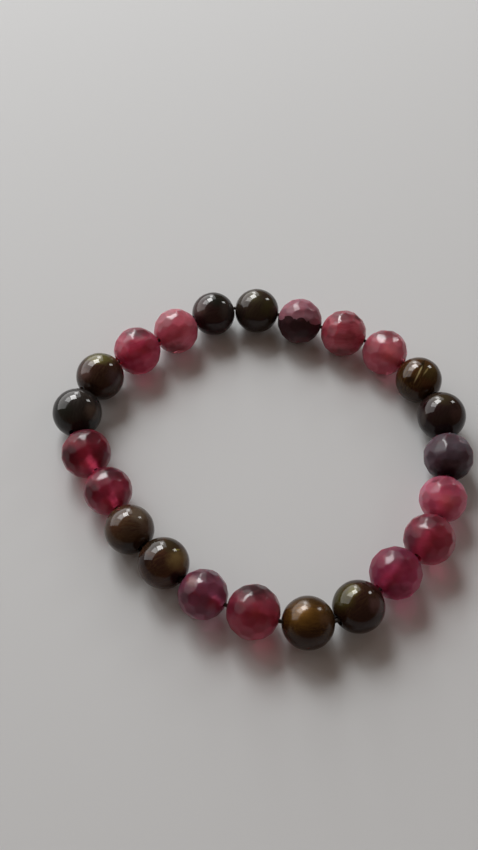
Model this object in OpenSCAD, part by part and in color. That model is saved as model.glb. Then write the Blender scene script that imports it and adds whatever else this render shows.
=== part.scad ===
// Gemstone bracelet: drilled round beads on an endless elastic cord, lying flat.
// The beads stand on z = 0 round the origin, with their bores level and the string closed.
// Each bore points along the string, about halfway between the lines to the neighbouring beads.

/* [Beads] */
// Usual diameter of a bead, in mm
bead_d = 8; // [6:0.5:9]
// Diameter of the hole drilled through each bead
bore_d = 1.5; // [1.5:0.1:2]
// Clear space between neighbouring beads
bead_gap = 0.12; // [0.11:0.01:0.3]
// Direction from the first bead to the second, anticlockwise from +X, in degrees
first_heading = 9; // [0:1:359]

/* [Facets] */
// Number of facets in each row round the bore
row_facets = 12; // [8:2:12]
// Distance from the middle of a bead to the facets at its equator, as a share of its radius
facet_share = 0.985; // [0.965:0.005:0.985]

/* [Cord] */
// Diameter of the elastic cord
cord_d = 0.6; // [0.4:0.1:0.6]
// Length of cord that bends between two beads
bend_length = 1; // [0.6:0.1:1.4]
// Number of sides of the cord
cord_sides = 8; // [8:1:12]

/* [Hidden] */
// Columns of the table of stones: whether it is faceted, and its colour
FACETED = 0;
TINT = 1;
STONES = [
    [false, "#1d2420"], // black-green tiger's eye
    [false, "#5c4b26"], // olive-gold tiger's eye
    [true, "#c85c70"], // pink agate
    [true, "#96213f"], // crimson agate
    [true, "#8c6474"], // agate, half mauve and half black
    [true, "#5d525c"] // grey agate
];
DARK_EYE = 0;
GOLD_EYE = 1;
PINK = 2;
CRIMSON = 3;
HALVED = 4;
GREY = 5;

// Columns of the table of beads, clockwise round the loop as seen from above:
// the stone, how much its diameter is over the usual one in mm, how many degrees the string
// turns clockwise at the bead (360 in all), and how far its facets are turned about the bore
STONE = 0;
OVER = 1;
TURN = 2;
SPIN = 3;
BEADS = [
    [DARK_EYE, -0.25, 27, 0],
    [DARK_EYE, -0.05, 23, 0],
    [HALVED, 0.05, 2, 10],
    [PINK, 0.2, 11, 11],
    [PINK, 0, 18, 16],
    [GOLD_EYE, 0, 20, 0],
    [DARK_EYE, 0.2, 21, 0],
    [GREY, 0.15, 14, 1],
    [PINK, -0.35, 10, 28],
    [CRIMSON, 0.1, 22, 2],
    [CRIMSON, 0.15, 3, 6],
    [GOLD_EYE, 0, 23, 0],
    [GOLD_EYE, 0, 30, 0],
    [CRIMSON, 0.25, 10, 6],
    [CRIMSON, -0.35, 19, 6],
    [GOLD_EYE, -0.05, 6, 0],
    [GOLD_EYE, -0.2, 15, 0],
    [CRIMSON, -0.25, -1, 17],
    [CRIMSON, 0.05, 15, 14],
    [DARK_EYE, 0.25, 38, 0],
    [GOLD_EYE, 0.2, 24, 0],
    [PINK, 0.25, 7, 3],
    [PINK, -0.05, 3, 27]
];
count = len(BEADS);
last = count - 1;

// Angle of each row of facets from the bead's equator, from one mouth of the bore to the other, and
// how far its facets stand from the bead's middle, as a share of how far the equator's do
ROWS = [-71, -49, -25, 0, 25, 49, 71];
REACH = [1.005, 1, 1, 1, 1, 1, 1.005];
top_row = len(ROWS) - 1;
half_steps = 2 * row_facets;
half_step = 360 / half_steps;

// Size of bead i, the heading of the line from it to the next bead, and that of its bore, which
// leans towards the neighbour where the string turns more, so that the mouths face each other
lean = 1 / 5;
function size(i) = bead_d + BEADS[i % count][OVER];
function turn(i) = BEADS[(i + count) % count][TURN];
function leaving(i) = i == 0 ? first_heading : leaving(i - 1) - turn(i);
function bore_heading(i) = leaving(i) + turn(i) / 2 + lean * (turn(i + 1) - turn(i - 1));
function stride(i) = (size(i) + size(i + 1)) / 2 + bead_gap;
function along(heading) = [cos(heading), sin(heading), 0];

// Middle of bead i on a walk from bead to bead, then with the walk's small miss shared out
function walked(i) = i == 0 ? [0, 0, 0] : walked(i - 1) + stride(i - 1) * along(leaving(i - 1));
WALK = [for (i = [0:last]) walked(i) - walked(count) * i / count];
function low(k) = min([for (i = [0:last]) WALK[i][k] - size(i) / 2]);
function high(k) = max([for (i = [0:last]) WALK[i][k] + size(i) / 2]);
MIDDLE = [(low(0) + high(0)) / 2, (low(1) + high(1)) / 2, 0];

// Corner of a faceted ball whose equator's facets are 1 from its middle, where rows j and j + 1
// meet, k half steps round: the point that lies in one facet of the one row and two of the other
function slack(j, k) = (j + k) % 2 == 0 ? 1 : cos(half_step);
function outward(j, k) = [cos(ROWS[j]) * slack(j, k), sin(ROWS[j])];
function corner(j, k) =
    let (a = outward(j, k))
    let (b = outward(j + 1, k))
    let (r = REACH[j] * b[1] - REACH[j + 1] * a[1])
    let (z = REACH[j + 1] * a[0] - REACH[j] * b[0])
    [r * cos(k * half_step), r * sin(k * half_step), z] / (a[0] * b[1] - b[0] * a[1]);
CORNERS = concat(
    [for (j = [0:top_row - 1]) for (k = [0:half_steps - 1]) corner(j, k)],
    [[0, 0, REACH[0] / sin(ROWS[0])], [0, 0, REACH[top_row] / sin(ROWS[top_row])]]
);
BOTTOM = len(CORNERS) - 2;
TOP = len(CORNERS) - 1;
function at(j, k) = j * half_steps + (k + half_steps) % half_steps;
FACETS = concat(
    [for (k = [0:2:half_steps - 1]) [BOTTOM, at(0, k - 1), at(0, k), at(0, k + 1)]],
    [
        for (j = [1:top_row - 1])
            for (k = [j % 2:2:half_steps - 1])
                [
                    at(j - 1, k + 1), at(j - 1, k), at(j - 1, k - 1),
                    at(j, k - 1), at(j, k), at(j, k + 1)
                ]
    ],
    [
        for (k = [top_row % 2:2:half_steps - 1])
            [TOP, at(top_row - 1, k + 1), at(top_row - 1, k), at(top_row - 1, k - 1)]
    ]
);

// Height of the middle of bead i when it stands on its lowest point, facet or edge
function faceted(i) = STONES[BEADS[i][STONE]][FACETED];
function drop(spin) = max([for (p = CORNERS) p[0] * cos(spin) - p[1] * sin(spin)]);
function rise(i) = size(i) / 2 * (faceted(i) ? facet_share * drop(BEADS[i][SPIN]) : 1);
function centre(i) = WALK[i] - MIDDLE + [0, 0, rise(i)];

// Route of the cord: straight through each bead, and bent between two beads
function mouth(i, side) = centre(i) + side * size(i) / 2 * along(bore_heading(i));
function between(i) = (mouth(i % count, 1) + mouth((i + 1) % count, -1)) / 2;
function unit(v) = v / norm(v);
function leg(a, b) = [a + bend_length / 2 * unit(b - a), b - bend_length / 2 * unit(b - a)];
ROUTE = [for (i = [0:last]) each leg(between(i + last), between(i))];
stops = len(ROUTE);
function stop(k) = ROUTE[(k + stops) % stops];
function aim(k) = unit(unit(stop(k) - stop(k - 1)) + unit(stop(k + 1) - stop(k)));
function ring(k) =
    let (side = unit(cross(aim(k), [0, 0, 1])))
    let (up = cross(side, aim(k)))
    [
        for (s = [0:cord_sides - 1])
            stop(k) + cord_d / 2 * (cos(360 * s / cord_sides) * side + sin(360 * s / cord_sides) * up)
    ];

function bead_name(i) = str("bead_", i < 9 ? "0" : "", i + 1);

// A ball cut in rows of flat facets, each row half a facet round from the next
module faceted_ball(d) {
    polyhedron(points = facet_share * d / 2 * CORNERS, faces = FACETS);
}

// One bead, smooth or faceted, drilled through its middle
module bead(i) {
    color(STONES[BEADS[i][STONE]][TINT])
        translate(centre(i))
            rotate([0, 90, bore_heading(i)])
                difference() {
                    if (faceted(i))
                        rotate(BEADS[i][SPIN]) faceted_ball(size(i));
                    else
                        sphere(d = size(i), $fn = 96);
                    cylinder(d = bore_d, h = 2 * bead_d, center = true, $fn = 48);
                }
}

// The endless elastic cord through every bore
module elastic_cord() {
    next = function (s) (s + 1) % cord_sides;
    color("#3c3834")
        polyhedron(
            points = [for (k = [0:stops - 1]) each ring(k)],
            faces = [
                for (k = [0:stops - 1])
                    for (s = [0:cord_sides - 1])
                        let (here = k * cord_sides)
                        let (there = (k + 1) % stops * cord_sides)
                        [here + s, there + s, there + next(s), here + next(s)]
            ]
        );
}

for (i = [0:last]) bead(i);
elastic_cord();
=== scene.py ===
import math

import bpy
import numpy as np
from mathutils import Matrix, Vector


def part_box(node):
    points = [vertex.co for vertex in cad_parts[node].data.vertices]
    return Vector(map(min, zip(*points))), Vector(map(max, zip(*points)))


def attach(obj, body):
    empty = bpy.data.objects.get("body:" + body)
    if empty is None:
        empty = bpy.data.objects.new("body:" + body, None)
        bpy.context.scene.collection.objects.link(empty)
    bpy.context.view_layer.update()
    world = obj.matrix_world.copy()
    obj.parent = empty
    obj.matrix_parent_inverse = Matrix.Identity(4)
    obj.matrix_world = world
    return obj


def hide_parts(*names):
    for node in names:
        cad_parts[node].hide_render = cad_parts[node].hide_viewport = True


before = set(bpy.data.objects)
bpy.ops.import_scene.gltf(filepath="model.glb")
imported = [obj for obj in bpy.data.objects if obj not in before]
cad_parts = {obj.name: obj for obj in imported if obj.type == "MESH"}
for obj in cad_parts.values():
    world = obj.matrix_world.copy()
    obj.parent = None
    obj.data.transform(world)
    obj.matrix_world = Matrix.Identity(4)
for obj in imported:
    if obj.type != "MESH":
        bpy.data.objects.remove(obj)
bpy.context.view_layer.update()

# Camera
# Held in front of the bracelet, looking down at it from close by and tilted a little. Its focal
# length is in the photograph's pixels, of which the long side has 850.
mm = 0.001
scene = bpy.context.scene
view_elevation = math.radians(56.0)
view_roll = math.radians(3.3)
view_distance = 166.8 * mm
view_aim = Vector((-3.8, 7.3, 0)) * mm
focal_pixels = 963.9
long_side_pixels = 850

back = Vector((0, -math.cos(view_elevation), math.sin(view_elevation)))
level_up = Vector((0, math.sin(view_elevation), math.cos(view_elevation)))
right = Vector((1, 0, 0)) * math.cos(view_roll) + level_up * math.sin(view_roll)
up = back.cross(right)
view_turn = Matrix((right, up, back)).transposed()

camera_data = bpy.data.cameras.new("camera")
camera_data.sensor_width = 36
camera_data.lens = camera_data.sensor_width * focal_pixels / long_side_pixels
camera_data.clip_start = 1 * mm
camera = bpy.data.objects.new("camera", camera_data)
camera.matrix_world = Matrix.Translation(view_aim + view_distance * back) @ view_turn.to_4x4()
scene.collection.objects.link(camera)
scene.camera = camera

# Floor and light
# A plain pale table top. A large window behind the bracelet and to the left lights it, with a pale
# curtain and wall round it. A small far window is on the right, and the near side is almost dark.
floor_half = 600 * mm


def linear(hex_colour):
    """The linear colour, with alpha 1, of an sRGB hex colour such as "#c0ffee"."""
    srgb = np.array([int(hex_colour[i:i + 2], 16) for i in (1, 3, 5)]) / 255
    light = np.where(srgb <= 0.04045, srgb / 12.92, ((srgb + 0.055) / 1.055) ** 2.4)
    return (*light.tolist(), 1.0)


def add(tree, kind, sockets=None, **settings):
    """Adds a shader node with these settings; each socket takes a value or another node's output."""
    node = tree.nodes.new("ShaderNode" + kind)
    for name, value in settings.items():
        setattr(node, name, value)
    for name, value in (sockets or {}).items():
        if isinstance(value, bpy.types.NodeSocket):
            tree.links.new(value, node.inputs[name])
        else:
            node.inputs[name].default_value = value
    return node


def new_material(name):
    """An empty node material: its tree, with the output node in place."""
    material = bpy.data.materials.new(name)
    material.use_nodes = True
    material.node_tree.nodes.clear()
    output = add(material.node_tree, "OutputMaterial")
    return material, material.node_tree, output


floor_mesh = bpy.data.meshes.new("floor")
floor_corners = np.array([(-1, -1), (1, -1), (1, 1), (-1, 1)]) * floor_half
floor_mesh.from_pydata([(x, y, 0) for x, y in floor_corners.tolist()], [], [(0, 1, 2, 3)])
floor = bpy.data.objects.new("floor", floor_mesh)
scene.collection.objects.link(floor)

# Painted board, brushed matt: even and pale, with only a broad soft sheen
floor_paint, tree, output = new_material("floor_matt_paint")
surface = add(tree, "BsdfPrincipled", {
    "Base Color": linear("#d4d7d8"),
    "Roughness": 0.8,
    "Specular IOR Level": 0.1,
})
tree.links.new(surface.outputs[0], output.inputs[0])
floor_mesh.materials.append(floor_paint)

# Each light's name, how many degrees it lies to the right of straight ahead and above the table,
# how many degrees wide and high it looks, and its radiance on matt surfaces, in the gloss of the
# tiger's eye and in that of the agate, which is clouded and gives back less of the weak lights
LIGHTS = [
    ("window", -24, 43, 19, 22, 10.2, 26.0, 26.0),
    ("curtain", -50, 41, 18, 24, 3.6, 9.0, 5.0),
    ("window_foot", -11, 21, 9, 18, 6.6, 11.0, 11.0),
    ("pale_wall", -45, 27, 84, 56, 1.0, 3.6, 1.6),
    ("far_window", 43, 29, 9, 14, 3.8, 14.0, 14.0),
    ("front_room", 115, 30, 90, 56, 0.2, 0.0, 0.0),
]

# Pieces that the lamps for each stone's gloss light
eye_receivers = bpy.data.collections.new("tigers_eye_receivers")
agate_receivers = bpy.data.collections.new("agate_receivers")

for name, bearing, height, wide, high, matt_radiance, eye_radiance, agate_radiance in LIGHTS:
    # The lamps that make up the light: the use, radiance, distance and receivers of each. Lamps in
    # one plane would hide each other, so no two have the same distance.
    uses = [
        ("matt", matt_radiance, 800 * mm, None),
        ("eye_mirrored", eye_radiance, 780 * mm, eye_receivers),
        ("agate_mirrored", agate_radiance, 760 * mm, agate_receivers),
    ]
    for use, radiance, distance, receivers in uses:
        lamp = bpy.data.lights.new(f"{name}_{use}", "AREA")
        lamp.shape = "RECTANGLE"
        lamp.size = 2 * distance * math.tan(math.radians(wide / 2))
        lamp.size_y = 2 * distance * math.tan(math.radians(high / 2))
        lamp.energy = radiance * math.pi * lamp.size * lamp.size_y
        light = bpy.data.objects.new(lamp.name, lamp)
        sideways = Matrix.Rotation(math.radians(-bearing), 4, "Z")
        upwards = Matrix.Rotation(math.radians(90 + height), 4, "X")
        outwards = Matrix.Translation((0, 0, -distance))
        facing = Matrix.Rotation(math.pi, 4, "Y")
        light.matrix_world = sideways @ upwards @ outwards @ facing
        light.visible_glossy = use != "matt"
        light.visible_diffuse = light.visible_transmission = use == "matt"
        scene.collection.objects.link(light)
        if receivers:
            light.light_linking.receiver_collection = receivers

# The rest of the room is warm and dim. It is brighter in the gloss of the stones, and a low camera
# sees it as a pale wall behind the table.
room_on_matt = 0.25
room_in_gloss = 0.6
room = bpy.data.worlds.new("room")
room.use_nodes = True
tree = room.node_tree
tree.nodes.clear()
path = add(tree, "LightPath")
strength = add(tree, "MapRange", {
    "Value": path.outputs["Is Glossy Ray"],
    "To Min": room_on_matt,
    "To Max": room_in_gloss,
})
warm = add(tree, "Background", {"Color": linear("#a07c64"), "Strength": strength.outputs[0]})
pale = add(tree, "Background", {"Color": linear("#b4b2b0"), "Strength": 1.0})
seen = add(tree, "MixShader", {
    0: path.outputs["Is Camera Ray"],
    1: warm.outputs[0],
    2: pale.outputs[0],
})
tree.links.new(seen.outputs[0], add(tree, "OutputWorld").inputs[0])
scene.world = room
scene.view_settings.view_transform = "Standard"

# The string
# All beads are threaded on one cord. Each one stands where its node stands, and its bore points
# along the string: halfway between its neighbours, leaning to the side where the string turns more.
bead_count = 23
lean = 1 / 5
nodes = [f"bead_{i + 1:02d}" for i in range(bead_count)]
centres = np.array([np.mean(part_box(node), axis=0) for node in nodes])
links = np.roll(centres, -1, axis=0) - centres
leaving = np.degrees(np.arctan2(links[:, 1], links[:, 0]))
turns = (np.roll(leaving, 1) - leaving + 180) % 360 - 180
bore_headings = leaving + turns / 2 + lean * (np.roll(turns, -1) - np.roll(turns, 1))

# Diameter of each bead in mm
DIAMETERS = [
    7.75, 7.95, 8.05, 8.2, 8.0, 8.0, 8.2, 8.15, 7.65, 8.1, 8.15, 8.0,
    8.0, 8.25, 7.65, 7.95, 7.8, 7.75, 8.05, 8.25, 8.2, 8.25, 7.95,
]


def bead_turn(number, spin):
    """The turn that spins a bead, bore along Z, about its bore and lays it along the string."""
    heading = math.radians(bore_headings[number - 1])
    lay = Matrix.Rotation(heading, 3, "Z") @ Matrix.Rotation(math.pi / 2, 3, "Y")
    return np.array(lay @ Matrix.Rotation(math.radians(spin), 3, "Z"))


def placed(points, number, spin=0):
    """Points about a bead's middle, bore along Z, turned and moved to the bead's place."""
    return points @ bead_turn(number, spin).T + centres[number - 1]


# Tiger's eye beads
# Balls of fibrous quartz, turned, drilled and polished to a glass-like gloss. Their silky fibres
# throw back a soft golden sheen, some of it painted sheen in the colour, and dark iron bands cross
# them.
bore_radius = 0.75 * mm

# The radius of the rounding at a bore's mouths, and how far round it its points lie
mouth_fillet = 0.16 * mm
mouth_swing = np.radians([30, 60, 90])

# Columns of a smooth bead's mesh round the bore, and its rows from mouth to mouth
eye_columns = 96
eye_rows = 56


def new_piece(name, points, faces, material, node, receivers):
    """A smooth-shaded mesh piece that rides on the string and stands for a node."""
    mesh = bpy.data.meshes.new(name)
    mesh.from_pydata(points.tolist(), [], faces.tolist())
    mesh.polygons.foreach_set("use_smooth", np.ones(len(mesh.polygons), dtype=bool))
    mesh.materials.append(material)
    mesh.update()
    piece = bpy.data.objects.new(name, mesh)
    scene.collection.objects.link(piece)
    receivers.objects.link(piece)
    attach(piece, "root")
    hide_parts(node)


def grid_faces(rows, columns):
    """Quads of a grid of rows by columns that closes on itself both ways."""
    here = np.arange(rows * columns).reshape(rows, columns)
    down = np.roll(here, -1, axis=0)
    quads = np.stack([here, np.roll(here, -1, axis=1), np.roll(down, -1, axis=1), down], axis=-1)
    return quads.reshape(-1, 4)


def sight_turn(number):
    """The turn whose X, Y and Z point right, up and near on the camera's line of sight to a bead."""
    near = (camera.matrix_world.translation - Vector(centres[number - 1])).normalized()
    over = near.cross(right).normalized()
    return Matrix((over.cross(near), over, near)).transposed()


# The faint waves that hand polishing leaves: how many sines add up to them, how many of them go
# round a bead, how high they are as a share of its radius, and what makes each bead's seed
polish_sines = 8
polish_waves = 14
polish_wave = 0.005
polish_seed = 100


def uneven(points, number):
    """Points about a bead's middle with the faint waves that hand polishing leaves: each is moved
    out by polish_wave times the mean of some sines of wave vector . direction + phase."""
    hand = np.random.default_rng(polish_seed + number)
    vectors = hand.normal(0, 1, (polish_sines, 3))
    vectors *= polish_waves / np.linalg.norm(vectors, axis=1, keepdims=True)
    phases = hand.uniform(0, 2 * math.pi, polish_sines)
    towards = points / np.linalg.norm(points, axis=1, keepdims=True)
    wave = np.mean(np.sin(towards @ vectors.T + phases), axis=1, keepdims=True)
    return points * (1 + polish_wave * wave)


def bead_space(tree, number, grain=0):
    """Coordinates in mm about a bead's middle: X right, Y up and Z near, as the photograph shows
    the bead, with X and Y then turned anticlockwise by grain degrees."""
    turn = sight_turn(number) @ Matrix.Rotation(math.radians(grain), 3, "Z")
    spot = add(tree, "TexCoord")
    return add(tree, "Mapping", {
        "Vector": spot.outputs["Object"],
        "Location": centres[number - 1],
        "Rotation": turn.to_euler(),
        "Scale": (mm, mm, mm),
    }, vector_type="TEXTURE").outputs[0]


def smooth_ball(diameter):
    """A drilled ball as a closed grid: a profile carried round the bore. The profile is the ball's
    arc from mouth to mouth, a rounded mouth, and the straight wall of the bore back."""
    radius = diameter / 2
    edge = math.acos((bore_radius + mouth_fillet) / radius)
    tilt = np.linspace(-edge, edge, eye_rows)
    arc = np.stack([radius * np.cos(tilt), radius * np.sin(tilt)], axis=-1)
    lip_r = bore_radius + mouth_fillet * (1 - np.sin(mouth_swing))
    lip_z = radius * math.sin(edge) - mouth_fillet * (1 - np.cos(mouth_swing))
    top = np.stack([lip_r, lip_z], axis=-1)
    bottom = (top * [1, -1])[::-1]
    profile = np.concatenate([arc, top, bottom])
    angle = np.arange(eye_columns) * 2 * math.pi / eye_columns
    points = np.stack([
        profile[:, :1] * np.cos(angle),
        profile[:, :1] * np.sin(angle),
        np.repeat(profile[:, 1:], eye_columns, axis=1),
    ], axis=-1)
    return points.reshape(-1, 3), grid_faces(len(profile), eye_columns)


# A patch reaches this many times further into the bead than across it, because the surface curves
# away, and its edge wanders by this many mm at most and by this share of its radius
patch_depth = 6
wander_most = 1.6
wander_share = 0.8
wanders_per_mm = 0.9

# Sockets of a Mix node between two colours
mix_share = 0
mix_first = 6
mix_second = 7
mix_result = 2


# Patches paint the stone's own colour, and also painted light, painted shade, painted sheen, painted
# reflections and painted glow: the notes in the bead tables say which.
def patched(tree, number, colour, colour_and_light_patches):
    """A colour with soft patches over it. Each patch has the place of its middle in mm right and up
    of the bead's middle as the photograph shows it, its radius in mm, how much of that radius is
    soft edge, how strong it is, its colour, and how much longer it is one way than the other, with
    the slant of that way in degrees anticlockwise; its edge wanders with a noise."""
    spot = bead_space(tree, number)
    wander = add(tree, "TexNoise", {"Vector": spot, "Scale": wanders_per_mm, "Detail": 3.0})
    ball = DIAMETERS[number - 1] / 2
    for right_mm, up_mm, radius_mm, soft, strength, tint, stretch, slant in colour_and_light_patches:
        near = math.sqrt(max(ball ** 2 - right_mm ** 2 - up_mm ** 2, 0))
        local = add(tree, "Mapping", {
            "Vector": spot,
            "Location": (right_mm, up_mm, near),
            "Rotation": (0, 0, math.radians(slant)),
            "Scale": (stretch, 1, patch_depth),
        }, vector_type="TEXTURE")
        reach = add(tree, "VectorMath", {0: local.outputs[0]}, operation="LENGTH")
        swing = min(wander_most, wander_share * radius_mm)
        wandering = add(tree, "Math", {
            0: wander.outputs["Fac"],
            1: swing,
            2: reach.outputs["Value"],
        }, operation="MULTIPLY_ADD")
        share = add(tree, "MapRange", {
            "Value": wandering.outputs[0],
            "From Min": radius_mm + swing / 2,
            "From Max": radius_mm * (1 - soft) + swing / 2,
            "To Max": strength,
        }, interpolation_type="SMOOTHSTEP")
        colour = add(tree, "Mix", {
            mix_share: share.outputs[0],
            mix_first: colour,
            mix_second: linear(tint),
        }, data_type="RGBA").outputs[mix_result]
    return colour


# How many fibres, bands and slow sways a millimetre holds, along the grain and across it. Real
# fibres are too fine to show, so these are as wide as a fine thread.
fibres_per_mm = (0.25, 4.5, 4.5)
eye_bands_per_mm = (0.12, 0.5, 0.5)
eye_sways_per_mm = 0.35


# Fibrous quartz, polished: the fibres catch the light like silk, in gold streaks over dark bands,
# and a clear coat over them gives the glass-like gloss. Patches add painted sheen beside the
# highlight and painted light and shade on the sides, tops and bottoms.
def tigers_eye(number, grain, dark, mid, gold, silk_share, sheen, blur, colour_and_light_patches):
    """The material of a bead: gold silk over dark and mid bands, and patches of colour, painted light
    and painted shade, under a gloss.
    """
    material, tree, output = new_material(f"tigers_eye_polished_{number:02d}")
    spot = bead_space(tree, number, grain)
    sway = add(tree, "TexNoise", {"Vector": spot, "Scale": eye_sways_per_mm, "Detail": 2.0})
    bent = add(tree, "MixRGB", {
        "Fac": 1.0,
        "Color1": spot,
        "Color2": sway.outputs["Color"],
    }, blend_type="ADD")
    silk_space = add(tree, "Mapping", {"Vector": bent.outputs[0], "Scale": fibres_per_mm})
    silk = add(tree, "TexNoise", {
        "Vector": silk_space.outputs[0],
        "Scale": 1.0,
        "Detail": 3.0,
        "Roughness": 0.6,
    })
    band_space = add(tree, "Mapping", {
        "Vector": bent.outputs[0],
        "Location": (number, 0, 0),
        "Scale": eye_bands_per_mm,
    })
    band = add(tree, "TexNoise", {"Vector": band_space.outputs[0], "Scale": 1.0, "Detail": 2.0})
    banding = add(tree, "MapRange", {"Value": band.outputs["Fac"], "From Min": 0.38, "From Max": 0.62})
    silky = add(tree, "MapRange", {"Value": silk.outputs["Fac"], "From Min": 0.42, "From Max": 0.68})
    streak = add(tree, "Math", {0: silky.outputs[0], 1: silk_share}, operation="MULTIPLY")
    banded = add(tree, "Mix", {
        mix_share: banding.outputs[0],
        mix_first: linear(dark),
        mix_second: linear(mid),
    }, data_type="RGBA")
    streaked = add(tree, "Mix", {
        mix_share: streak.outputs[0],
        mix_first: banded.outputs[mix_result],
        mix_second: linear(gold),
    }, data_type="RGBA")
    surface = add(tree, "BsdfPrincipled", {
        "Base Color": patched(tree, number, streaked.outputs[mix_result], colour_and_light_patches),
        "Metallic": sheen,
        "Roughness": 0.45,
        "Specular IOR Level": 0.0,
        "Coat Weight": 1.0,
        "Coat Roughness": blur,
        "Coat IOR": 1.3,
    })
    tree.links.new(surface.outputs[0], output.inputs[0])
    return material


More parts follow.
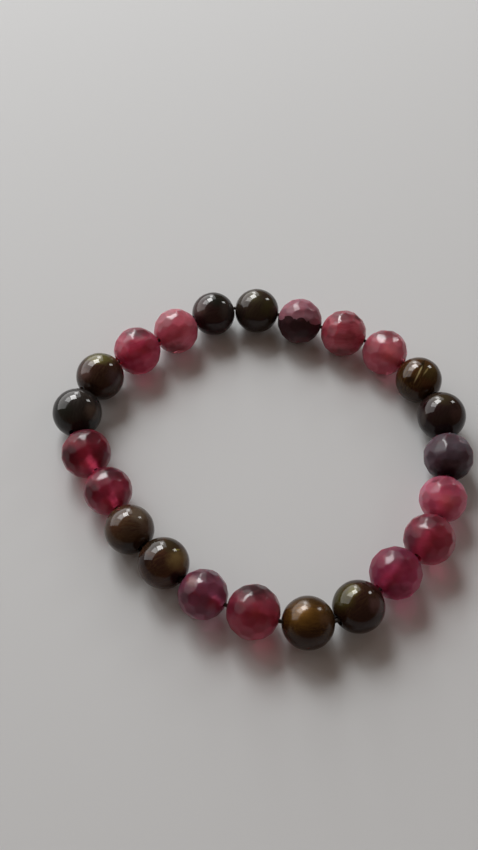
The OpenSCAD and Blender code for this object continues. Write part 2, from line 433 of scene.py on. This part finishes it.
# Number, grain, dark, mid and gold colours, share of gold silk, sheen of the fibres, blur of the
# polish, slot and patches of each bead. The patches hold the stone's own colours and also painted
# light, painted shade, painted sheen and painted reflections, as marked.
EYE_BEADS = [
    (1, 20, "#251617", "#2d1c1e", "#3a2c28", 0.4, 0.1, 0.07, "dark_tigers_eye", [
        # Painted light: lighter left side
        (-2.4, 0.6, 2.0, 0.9, 0.7, "#4c3a36", 1, 0),
        # Painted shade, in part the stone's green-black: darker top
        (0.6, 2.6, 2.4, 0.8, 0.9, "#141a16", 1.4, 0),
        # Painted light: lighter right side
        (2.6, 0.4, 2.2, 0.9, 0.8, "#403c3a", 1, 0),
    ]),
    (2, 60, "#281d1c", "#2f261e", "#3c3826", 0.4, 0.15, 0.05, "dark_tigers_eye", [
        # Painted light, in part the stone's olive: lighter right side
        (2.2, 0.6, 2.4, 0.9, 0.8, "#3c3a20", 1, 0),
        # Painted sheen: olive glow beside the window's highlight
        (-0.5, 2.5, 2.0, 0.9, 0.4, "#44462c", 1, 0),
        # Painted shade: darker bottom
        (0.4, -2.8, 2.0, 0.8, 0.5, "#2a1c1a", 1.5, 0),
    ]),
    (6, 65, "#281608", "#371f0e", "#54401e", 0.6, 0.15, 0.05, "gold_tigers_eye", [
        # Painted light, in part the stone's gold: gold-olive glow on the right
        (2.0, 1.2, 2.0, 0.8, 0.7, "#463a1c", 1, 0),
        (0.0, -2.9, 1.7, 0.8, 0.7, "#3e2c20", 1.5, 0),
        (1.2, -0.6, 1.4, 0.9, 0.6, "#55331c", 1, 0),
        (-1.5, 0.0, 0.8, 0.7, 0.9, "#1c0f07", 1.6, 20),
        (0.6, 2.5, 0.5, 0.7, 0.9, "#1c160a", 3, 70),
        (0.05, 1.25, 0.22, 0.7, 0.9, "#988a62", 11, 65),
        (1.25, 1.55, 0.18, 0.7, 0.8, "#8a7c52", 9, 55),
    ]),
    (7, 70, "#1f1112", "#231617", "#2c2620", 0.4, 0.1, 0.05, "dark_tigers_eye", [
        # Painted sheen, in part the stone's olive: olive top rim
        (0.3, 3.0, 1.6, 0.9, 0.7, "#3a3422", 2, 0),
        # Painted reflection: thin pale line along the left edge
        (-3.0, -0.4, 0.8, 0.8, 0.7, "#443c38", 2.5, 75),
        # Painted light: lighter right side
        (2.6, 0.2, 1.8, 0.9, 0.8, "#3e2c2a", 1, 0),
    ]),
    (12, 40, "#24120f", "#2c1a13", "#3c2c18", 0.5, 0.15, 0.05, "gold_tigers_eye", [
        # Painted sheen, in part the stone's green-olive: upper left
        (-2.4, 1.4, 3.0, 0.9, 0.9, "#383414", 1, 0),
        # Painted sheen: gold-green glow beside the window's highlight
        (-0.8, 2.4, 1.4, 0.9, 0.6, "#585628", 1, 0),
        # Painted shade: darker lower right
        (1.0, -1.6, 2.6, 0.9, 0.7, "#2c1817", 1, 0),
        # Painted light: lighter right side
        (2.8, 0.2, 1.8, 0.9, 0.8, "#584040", 1, 0),
    ]),
    (13, 0, "#28160a", "#3a250e", "#583e18", 0.7, 0.25, 0.17, "gold_tigers_eye", [
        # Painted sheen, in part the stone's gold: gold glow over the upper half
        (-0.5, 0.9, 2.6, 0.9, 0.7, "#5a3e15", 1.6, 0),
        # Painted shade: darker top
        (0.3, 3.4, 1.6, 0.8, 0.7, "#33240f", 2, 0),
        # Painted light: lighter right side
        (2.8, 0.4, 1.6, 0.9, 0.7, "#5c4430", 1, 0),
        # Painted shade: darker bottom
        (0.0, -3.0, 2.6, 0.6, 0.85, "#2e1a10", 1.8, 0),
    ]),
    (16, 30, "#301a15", "#42261a", "#503e26", 0.5, 0.1, 0.06, "gold_tigers_eye", [
        (2.2, 0.3, 2.5, 0.9, 0.95, "#78653f", 1, 0),
        (1.8, -2.2, 1.3, 0.6, 0.9, "#1c110e", 1, 0),
        (-1.4, 2.6, 2.2, 0.8, 0.9, "#1e1912", 1, 0),
        # Painted shade: darker left side
        (-3.0, 0.4, 1.8, 0.8, 0.9, "#1e1210", 1, 0),
        # Painted shade: darker top
        (0.8, 2.9, 2.0, 0.8, 0.8, "#2c2818", 1.5, 0),
        # Painted reflection: thin yellow-green streak of the far window
        (1.9, 2.0, 0.15, 0.7, 0.8, "#8c8844", 5, 0),
    ]),
    (17, 0, "#33201a", "#412c1c", "#504230", 0.6, 0.1, 0.07, "gold_tigers_eye", [
        (1.5, 2.3, 2.0, 0.8, 0.6, "#645a4c", 1, 0),
        # Painted light: lighter right side
        (2.8, 0.2, 1.8, 0.9, 0.8, "#5c4c40", 1, 0),
        (-2.2, 0.2, 1.8, 0.9, 0.6, "#4a2f20", 1, 0),
        # Painted shade: darker bottom
        (0.3, -2.9, 2.0, 0.8, 0.9, "#26160f", 1.5, 0),
    ]),
    (20, 80, "#211e1d", "#272524", "#363430", 0.4, 0.1, 0.05, "dark_tigers_eye", [
        # Painted shade, in part the stone's green-black: darker left side
        (-2.2, 0.3, 2.4, 0.9, 0.8, "#1c201c", 1, 0),
        # Painted light: lighter right side
        (2.4, 0.2, 1.8, 0.9, 0.9, "#544840", 1, 0),
        # Painted shade: darker bottom
        (-0.4, -2.8, 1.8, 0.8, 0.6, "#281816", 1.5, 0),
    ]),
    (21, 60, "#2b1914", "#36221b", "#463626", 0.5, 0.15, 0.06, "gold_tigers_eye", [
        # Painted sheen, in part the stone's gold-green: top rim
        (0.2, 3.3, 1.5, 0.6, 0.9, "#504c28", 2.6, 0),
        # Painted light: lighter right side
        (2.4, -0.1, 1.9, 0.9, 0.7, "#4c3c40", 1, 0),
        # Painted light: lighter left side
        (-2.6, 0.4, 1.8, 0.9, 0.7, "#5a4440", 1, 0),
    ]),
]
for number, grain, dark, mid, gold, silk_share, sheen, blur, slot, colour_and_light_patches in EYE_BEADS:
    points, faces = smooth_ball(DIAMETERS[number - 1] * mm)
    points = placed(uneven(points, number), number)
    material = tigers_eye(number, grain, dark, mid, gold, silk_share, sheen, blur, colour_and_light_patches)
    name = f"tigers_eye_bead_{number:02d}"
    new_piece(name, points, faces, material, nodes[number - 1], eye_receivers)


# Agate beads
# Balls of dyed agate, cut in seven rows of twelve flats round the bore, each row half a flat round
# from the next, then tumbled bright, which rounds the edges. They are clear or cloudy inside.
row_facets = 12

# How far the flats lie from the bead's middle as a share of its radius, each row's angle from the
# equator, and how far a row's flats stand out as a share of how far the equator's do
facet_share = 0.985
ROWS = np.radians([-71, -49, -25, 0, 25, 49, 71])
REACH = np.array([1.005, 1, 1, 1, 1, 1, 1.005])

# How far hand cutting turns a flat, in radians, and how much too deep it sets it, as a share
cut_error = 0.01
cut_depth_error = 0.005

# How sharp the edges between flats are: the power in the sum that blends them
edge_sharpness = 110

# Columns of a faceted bead's mesh round the bore, its rows from mouth to mouth, and the rounds in
# which the rows at the mouths come to lie on their rims
facet_columns = 144
facet_rows = 90
rim_rounds = 4

# How many degrees each bead is turned about its bore
SPINS = {3: 10, 4: 11, 5: 16, 8: 1, 9: 28, 10: 2, 11: 6, 14: 6, 15: 6, 18: 17, 19: 14, 22: 3, 23: 27}

# Flats that are cut out of row: where each one's middle is, in mm right and up as the photograph
# shows the bead, and its distance from the bead's middle as a share of that of the flats in a row
EXTRA_FLATS = {
    3: [(-0.7, 2.6, 0.992)],
    4: [(-0.1, 2.6, 0.99), (-1.7, 2.6, 0.99)],
    5: [(-0.39, 2.57, 0.975), (1.84, 2.52, 0.992), (0.57, 3.31, 0.994), (-1.74, 1.23, 0.977)],
    8: [(0.48, 2.84, 0.975), (0.43, 1.89, 0.989), (-1.1, 2.11, 0.984), (-1.39, 1.7, 0.975)],
    9: [
        (0.48, 1.43, 0.982), (-1.32, 1.82, 0.982), (0.23, 2.92, 0.977),
        (-0.92, 3.25, 0.977), (0.81, 1.59, 0.979),
    ],
    10: [
        (-0.9, 2.33, 0.99), (0.35, 2.62, 0.975), (-1.1, 2.93, 0.984),
        (1.66, 1.5, 0.985), (-0.84, 1.26, 0.995),
    ],
    11: [
        (-0.97, 2.3, 0.978), (0.13, 2.57, 0.975), (0.22, 1.84, 0.975),
        (-0.9, 2.87, 0.994), (0.1, 1.7, 0.988),
    ],
    14: [
        (-0.56, 1.99, 0.988), (-0.79, 3.12, 0.992), (-0.43, 1.81, 0.976),
        (0.81, 2.22, 0.975), (0.07, 3.5, 0.975),
    ],
    15: [(-0.8, 2.2, 0.995), (-1.6, 1.5, 0.985), (0.2, 2.6, 0.985), (-1.2, 2.95, 0.984)],
    18: [(-0.97, 2.4, 0.975), (0.53, 3.39, 0.976), (-0.7, 1.71, 0.975), (0.63, 2.63, 0.975)],
    19: [(0.74, 2.21, 0.976), (-0.42, 2.5, 0.992), (-1.05, 1.76, 0.979), (0.84, 0.8, 0.998)],
    22: [(0.09, 2.62, 0.975), (-1.8, 2.17, 0.987), (-0.85, 0.89, 0.988), (0.59, 3.09, 0.979)],
    23: [(-0.5, 2.75, 0.99), (0.2, 2.0, 0.99)],
}


def cut_planes(diameter, number):
    """The direction and the distance of each flat, tilted and set a little shy as by hand."""
    hand = np.random.default_rng(number)
    shape = (len(ROWS), row_facets)
    half_way = np.arange(len(ROWS))[:, None] % 2 / 2
    azimuth = (np.arange(row_facets) + half_way) * 2 * math.pi / row_facets
    tilt = np.broadcast_to(ROWS[:, None], shape)
    normal = np.stack([
        np.cos(tilt) * np.cos(azimuth),
        np.cos(tilt) * np.sin(azimuth),
        np.sin(tilt),
    ], axis=-1)
    normal = normal + hand.normal(0, cut_error, normal.shape)
    normal /= np.linalg.norm(normal, axis=-1, keepdims=True)
    shy = np.abs(hand.normal(0, cut_depth_error, shape))
    depth = diameter / 2 * facet_share * REACH[:, None] * (1 - shy)
    normal, depth = normal.reshape(-1, 3), depth.ravel()
    for right_mm, up_mm, share in EXTRA_FLATS[number]:
        near = math.sqrt((diameter / 2 / mm) ** 2 - right_mm ** 2 - up_mm ** 2)
        towards = np.array(sight_turn(number) @ Vector((right_mm, up_mm, near)).normalized())
        normal = np.vstack([normal, towards @ bead_turn(number, SPINS[number])])
        depth = np.append(depth, diameter / 2 * facet_share * share)
    return normal, depth


def faceted_ball(diameter, number):
    """A drilled ball of flats as a closed grid. In any direction its surface lies where the nearest
    of the flats' planes does; a power sum over the planes blends them, which rounds the edges."""
    normal, depth = cut_planes(diameter, number)
    angle = np.arange(facet_columns) * 2 * math.pi / facet_columns

    def surface(tilt):
        """How far the surface is from the middle at these tilts from the equator."""
        towards = np.stack([
            np.cos(tilt) * np.cos(angle),
            np.cos(tilt) * np.sin(angle),
            np.sin(tilt),
        ], axis=-1)
        nearness = np.maximum(towards @ normal.T, 0) / depth
        total = np.sum((nearness * diameter) ** edge_sharpness, axis=-1)
        return total ** (-1 / edge_sharpness) * diameter

    rim = bore_radius + mouth_fillet
    edges = []
    for side in (-1, 1):
        tilt = np.full(facet_columns, side * math.acos(2 * rim / diameter))
        for _ in range(rim_rounds):
            tilt = side * np.arccos(rim / surface(tilt))
        edges.append(tilt)
    share = np.linspace(0, 1, facet_rows)[:, None]
    tilt = edges[0] * (1 - share) + edges[1] * share
    reach = surface(tilt)
    ball_r, ball_z = reach * np.cos(tilt), reach * np.sin(tilt)
    swing = mouth_swing[:, None]
    lip_r = np.repeat(bore_radius + mouth_fillet * (1 - np.sin(swing)), facet_columns, axis=1)
    lip_drop = mouth_fillet * (1 - np.cos(swing))
    profile_r = np.concatenate([ball_r, lip_r, lip_r[::-1]])
    profile_z = np.concatenate([ball_z, ball_z[-1] - lip_drop, ball_z[0] + lip_drop[::-1]])
    points = np.stack([profile_r * np.cos(angle), profile_r * np.sin(angle), profile_z], axis=-1)
    return points.reshape(-1, 3), grid_faces(len(profile_r), facet_columns)


# How many bands a band's width holds, along the grain, across it and in depth, and how many slow
# sways a millimetre holds
bands_per_width = (0.15, 0.8, 0.5)
agate_sways_per_mm = 0.3


# Dyed agate, cut and polished: light goes in and comes back tinted, reds from deepest, so the clear
# stones glow on the side away from the window, and cloudy bands cross them. On some beads patches
# add painted glow to that side, and on most painted shade on the top and the left rim.
def agate(number, grain, deep, mid, pale, band_mm, clear, depth_mm, gloss, blur, colour_and_light_patches):
    """The material of a bead: deep, mid and pale bands, and patches of colour, painted light and
    painted shade, in a skin that light enters.
    """
    material, tree, output = new_material(f"agate_polished_{number:02d}")
    spot = bead_space(tree, number, grain)
    sway = add(tree, "TexNoise", {"Vector": spot, "Scale": agate_sways_per_mm, "Detail": 2.0})
    bent = add(tree, "MixRGB", {
        "Fac": 1.0,
        "Color1": spot,
        "Color2": sway.outputs["Color"],
    }, blend_type="ADD")
    band_space = add(tree, "Mapping", {
        "Vector": bent.outputs[0],
        "Location": (number, number, 0),
        "Scale": [bands / band_mm for bands in bands_per_width],
    })
    band = add(tree, "TexNoise", {
        "Vector": band_space.outputs[0],
        "Scale": 1.0,
        "Detail": 4.0,
        "Roughness": 0.55,
    })
    deeper = add(tree, "MapRange", {"Value": band.outputs["Fac"], "From Min": 0.3, "From Max": 0.52})
    paler = add(tree, "MapRange", {"Value": band.outputs["Fac"], "From Min": 0.5, "From Max": 0.75})
    clouded = add(tree, "Mix", {
        mix_share: deeper.outputs[0],
        mix_first: linear(deep),
        mix_second: linear(mid),
    }, data_type="RGBA")
    banded = add(tree, "Mix", {
        mix_share: paler.outputs[0],
        mix_first: clouded.outputs[mix_result],
        mix_second: linear(pale),
    }, data_type="RGBA")
    surface = add(tree, "BsdfPrincipled", {
        "Base Color": patched(tree, number, banded.outputs[mix_result], colour_and_light_patches),
        "Roughness": 0.3,
        "IOR": 1.54,
        "Specular IOR Level": 0.0,
        "Specular Tint": (0.1, 0.1, 0.1, 1.0),
        "Subsurface Weight": 1.0,
        "Subsurface Radius": (1.0, 0.35, 0.4),
        "Subsurface Scale": depth_mm * mm,
        "Transmission Weight": clear,
        "Coat Weight": gloss,
        "Coat IOR": 1.3,
        "Coat Roughness": blur,
    })
    tree.links.new(surface.outputs[0], output.inputs[0])
    return material


# Number, grain, deep, mid and pale colours, width of a band in mm, how clear, depth that light
# reaches in mm, gloss and blur of the polish, slot and patches of each bead. The dark half of bead 3
# is a patch so large that its edge crosses the bead almost straight.
# Besides the stone's own colours, the patches hold painted shade, painted glow, painted reflections and
# painted glints, as marked.
AGATE_BEADS = [
    (3, 0, "#80505c", "#8c5c68", "#a07480", 1.5, 0.0, 1.0, 0.56, 0.07, "halved_agate", [
        (-4.5, -28.0, 28.8, 0.008, 1.0, "#3c2428", 1, 0),
        (-1.9, 0.45, 0.6, 0.2, 1.0, "#3c2428", 1.5, -10),
        (0.2, 0.25, 0.5, 0.2, 1.0, "#3c2428", 1.6, 0),
        (2.7, -0.05, 0.6, 0.2, 1.0, "#8c5c68", 1.8, -5),
        (-3.3, 0.7, 0.5, 0.2, 1.0, "#8c5c68", 1.2, 0),
        # Painted reflection of the floor: greyish pink bottom rim
        (0.0, -3.5, 1.2, 0.8, 0.7, "#5c4044", 2.6, 0),
    ]),
    (4, 0, "#923a46", "#ba5666", "#c06c78", 0.8, 0.3, 1.6, 0.8, 0.05, "pink_agate", [
        # Painted shade: darker top
        (0.2, 3.1, 1.8, 0.8, 0.8, "#683840", 2, 0),
        (2.4, 2.8, 0.6, 0.8, 0.8, "#3c2426", 2, -40),
        (0.0, -3.6, 1.5, 0.7, 0.8, "#5c3434", 2.2, 0),
        # Painted shade: darker left rim
        (-2.8, 0.4, 1.6, 0.8, 0.5, "#843440", 1.4, 90),
    ]),
    (5, 0, "#b45468", "#c06474", "#c87684", 2.0, 0.5, 4.0, 0.68, 0.03, "pink_agate", [
        (0.8, 0.2, 2.6, 0.9, 0.9, "#e48c96", 1, 0),
        # Painted shade: darker top
        (0.4, 3.2, 1.6, 0.8, 0.85, "#6c444c", 2.2, 0),
        (0.0, -3.0, 1.8, 0.8, 0.7, "#9c3448", 1.8, 0),
        # Painted shade: darker left rim
        (-3.0, 0.2, 1.7, 0.9, 0.7, "#8c3c48", 1.4, 90),
    ]),
    (8, 0, "#44343e", "#54464e", "#62565e", 2.5, 0.0, 1.5, 0.66, 0.05, "grey_agate", [
        (-0.6, -1.6, 2.0, 0.7, 0.7, "#3a262e", 1, 0),
        # Painted shade: darker top
        (-0.2, 3.2, 1.4, 0.8, 0.7, "#44383e", 2, 0),
        # Painted shade: darker bottom
        (0.0, -2.8, 2.1, 0.8, 0.95, "#1c1014", 2, 0),
        (1.8, 1.8, 2.0, 0.8, 0.6, "#60545c", 1, 0),
    ]),
    (9, 0, "#bc5070", "#cc6480", "#d27c90", 2.0, 0.45, 4.0, 0.72, 0.08, "pink_agate", [
        # Painted shade: darker top
        (0.4, 3.0, 2.4, 0.9, 0.8, "#843e50", 1.6, 0),
        (-1.1, 2.9, 0.25, 0.6, 0.7, "#5c2834", 4, 20),
        (0.6, -0.4, 2.0, 0.9, 0.5, "#dc7876", 1, 0),
        # Painted reflection: greyish pink left rim
        (-3.0, 0.6, 1.2, 0.8, 0.6, "#b07c88", 1, 0),
        (0.0, -3.3, 1.6, 0.8, 0.7, "#a43850", 2, 0),
    ]),
    (10, 0, "#98304a", "#a83c54", "#b44c64", 2.5, 0.65, 4.0, 0.6, 0.04, "crimson_agate", [
        # Painted shade: darker top
        (0.4, 3.0, 2.4, 0.9, 0.85, "#64283c", 1.8, 0),
        # Painted shade: darker left rim
        (-3.0, 0.2, 1.8, 0.8, 0.8, "#642840", 1.6, 90),
        (2.4, -0.3, 2.8, 0.4, 0.5, "#9c3444", 1, 0),
    ]),
    (11, 0, "#903050", "#a43c5c", "#b04c6c", 2.5, 0.65, 4.0, 0.42, 0.03, "crimson_agate", [
        # Painted shade: darker top
        (0.6, 3.0, 2.2, 0.9, 0.8, "#6c2c4a", 1.8, 0),
        (0.3, -2.8, 2.0, 0.8, 0.8, "#6c1430", 1.6, 0),
        (0.2, 0.2, 1.9, 0.9, 0.6, "#c05878", 1, 0),
        # Painted shade: darker left rim
        (-3.2, 0.4, 1.6, 0.8, 0.6, "#782c4c", 1.6, 90),
    ]),
    (14, 0, "#96364a", "#a84256", "#b45064", 3.0, 0.65, 4.0, 0.6, 0.03, "crimson_agate", [
        # Painted shade: dark top cap
        (0.3, 3.3, 2.4, 0.8, 0.95, "#2e181e", 2.2, 0),
        # Painted shade: darker left rim
        (-2.8, 0.6, 2.0, 0.9, 0.7, "#742840", 1.2, 90),
        (0.2, -0.2, 1.4, 0.9, 0.5, "#b84c50", 1, 0),
    ]),
    (15, 0, "#743850", "#88445c", "#9c5870", 2.5, 0.6, 4.0, 0.78, 0.04, "crimson_agate", [
        # Painted shade: darker top
        (0.6, 3.0, 1.7, 0.8, 0.8, "#4c2c3c", 2, 0),
        # The stone's pale crackle, with painted glints in it
        (-1.6, 1.9, 1.1, 0.6, 0.8, "#b08484", 1, 0),
        # Painted glow: brighter crimson lower right, away from the window
        (1.6, -1.4, 1.6, 0.8, 0.7, "#b83c58", 1, 0),
        # Painted shade: darker left side
        (-2.6, -0.4, 1.6, 0.8, 0.8, "#441428", 1, 0),
    ]),
    (18, 0, "#8a2640", "#a03450", "#ac4860", 2.5, 0.6, 4.0, 0.6, 0.03, "crimson_agate", [
        # Painted shade: darker top
        (0.8, 3.0, 2.0, 0.8, 0.85, "#4c2430", 1.8, 0),
        # Painted glow: brighter right side
        (1.6, 0.2, 2.0, 0.9, 0.8, "#d86080", 1, 0),
        # Painted glow: brighter lower part
        (0.3, -2.4, 2.0, 0.9, 0.85, "#e05878", 1.4, 0),
        # Painted shade: darker left rim
        (-2.8, 0.0, 2.0, 0.8, 0.85, "#541424", 1.2, 90),
    ]),
    (19, 0, "#842034", "#9c2c44", "#b04054", 2.5, 0.7, 4.0, 0.36, 0.04, "crimson_agate", [
        # Painted shade: darker top
        (0.4, 3.2, 2.0, 0.8, 0.8, "#541c2c", 2, 0),
        # Painted shade: darker left rim
        (-2.8, -0.2, 2.0, 0.8, 0.85, "#4c1020", 1.2, 90),
        # Painted reflection: grey-purple right rim
        (3.4, 0.0, 1.5, 0.8, 0.8, "#84405a", 1, 0),
        # Painted glow: bright crimson glow in the lower part
        (0.4, -2.4, 2.3, 0.9, 1.0, "#ff7494", 1, 0),
    ]),
    (22, 25, "#a83450", "#b84460", "#c85c76", 1.5, 0.5, 3.0, 0.64, 0.04, "pink_agate", [
        (-2.6, 0.6, 1.6, 0.7, 0.6, "#e07c90", 1, 0),
        (0.5, 2.0, 0.4, 0.8, 0.6, "#d88090", 6, 25),
        # Painted shade: darker top
        (0.3, 3.3, 1.6, 0.8, 0.9, "#5c303c", 2.6, 0),
        (1.6, 1.2, 1.8, 0.8, 0.5, "#982c48", 1, 0),
        (0.2, -3.0, 2.0, 0.8, 0.7, "#8c2038", 1.8, 0),
        (0.0, -0.2, 1.5, 0.9, 0.6, "#d05874", 1.5, 0),
    ]),
    (23, 30, "#b65066", "#c86478", "#d27e8c", 1.5, 0.38, 3.0, 0.54, 0.04, "pink_agate", [
        (-2.0, 2.0, 2.0, 0.6, 0.6, "#ac747c", 1.8, 30),
        # Painted shade: darker top
        (1.0, 3.2, 1.5, 0.8, 0.6, "#9c5864", 1.5, 0),
        (0.2, -0.4, 1.4, 0.9, 0.4, "#c45c70", 1, 0),
        (0.0, -3.2, 1.8, 0.8, 0.85, "#6c3438", 2.0, 0),
    ]),
]
for number, grain, deep, mid, pale, band_mm, clear, depth_mm, gloss, blur, slot, colour_and_light_patches in AGATE_BEADS:
    points, faces = faceted_ball(DIAMETERS[number - 1] * mm, number)
    points = placed(uneven(points, number), number, SPINS[number])
    material = agate(number, grain, deep, mid, pale, band_mm, clear, depth_mm, gloss, blur, colour_and_light_patches)
    name = f"agate_bead_{number:02d}"
    new_piece(name, points, faces, material, nodes[number - 1], agate_receivers)


# Elastic cord
# One endless stretch cord of moulded polyurethane through every bore, straight inside each bead and
# bent between two. Only short stretches show between the beads.
cord_radius = 0.3 * mm
cord_sides = 16
bend_half = 0.5 * mm
radii = np.array(DIAMETERS)[:, None] * mm / 2
heading = np.radians(bore_headings)
along = np.stack([np.cos(heading), np.sin(heading), np.zeros(bead_count)], axis=-1)
between = (centres + radii * along + np.roll(centres - radii * along, -1, axis=0)) / 2
start, end = np.roll(between, 1, axis=0), between
straight = (end - start) / np.linalg.norm(end - start, axis=1, keepdims=True)
route = np.stack([start + bend_half * straight, end - bend_half * straight], axis=1).reshape(-1, 3)


def closed_tube(route, radius, sides):
    """A circle carried along a closed route, square to the bisector of the legs at each stop."""
    legs = np.roll(route, -1, axis=0) - route
    legs /= np.linalg.norm(legs, axis=1, keepdims=True)
    aim = legs + np.roll(legs, 1, axis=0)
    aim /= np.linalg.norm(aim, axis=1, keepdims=True)
    side = np.cross(aim, (0, 0, 1))
    side /= np.linalg.norm(side, axis=1, keepdims=True)
    over = np.cross(side, aim)
    angle = np.arange(sides) * 2 * math.pi / sides
    ring = np.cos(angle)[None, :, None] * side[:, None] + np.sin(angle)[None, :, None] * over[:, None]
    return (route[:, None] + radius * ring).reshape(-1, 3), grid_faces(len(route), sides)


# Clear polyurethane, moulded smooth, with only a faint gloss. Its colour is painted dark, here darker
# and there lighter: painted shade of the gaps between the beads, where the dark stones and bores
# would show through a clear cord.
shades_per_mm = 0.7
cord_painted_dark, tree, output = new_material("cord_moulded_polyurethane")
spot = add(tree, "TexCoord")
spot_mm = add(tree, "Mapping", {"Vector": spot.outputs["Object"], "Scale": (1 / mm, 1 / mm, 1 / mm)})
cloud = add(tree, "TexNoise", {"Vector": spot_mm.outputs[0], "Scale": shades_per_mm, "Detail": 2.0})
shade = add(tree, "MapRange", {"Value": cloud.outputs["Fac"], "From Min": 0.35, "From Max": 0.65})
colour = add(tree, "Mix", {
    mix_share: shade.outputs[0],
    mix_first: linear("#342f2b"),
    mix_second: linear("#4a443e"),
}, data_type="RGBA")
surface = add(tree, "BsdfPrincipled", {
    "Base Color": colour.outputs[mix_result],
    "Roughness": 0.4,
    "Specular IOR Level": 0.15,
})
tree.links.new(surface.outputs[0], output.inputs[0])
points, faces = closed_tube(route, cord_radius, cord_sides)
new_piece("stretch_cord", points, faces, cord_painted_dark, "elastic_cord", eye_receivers)
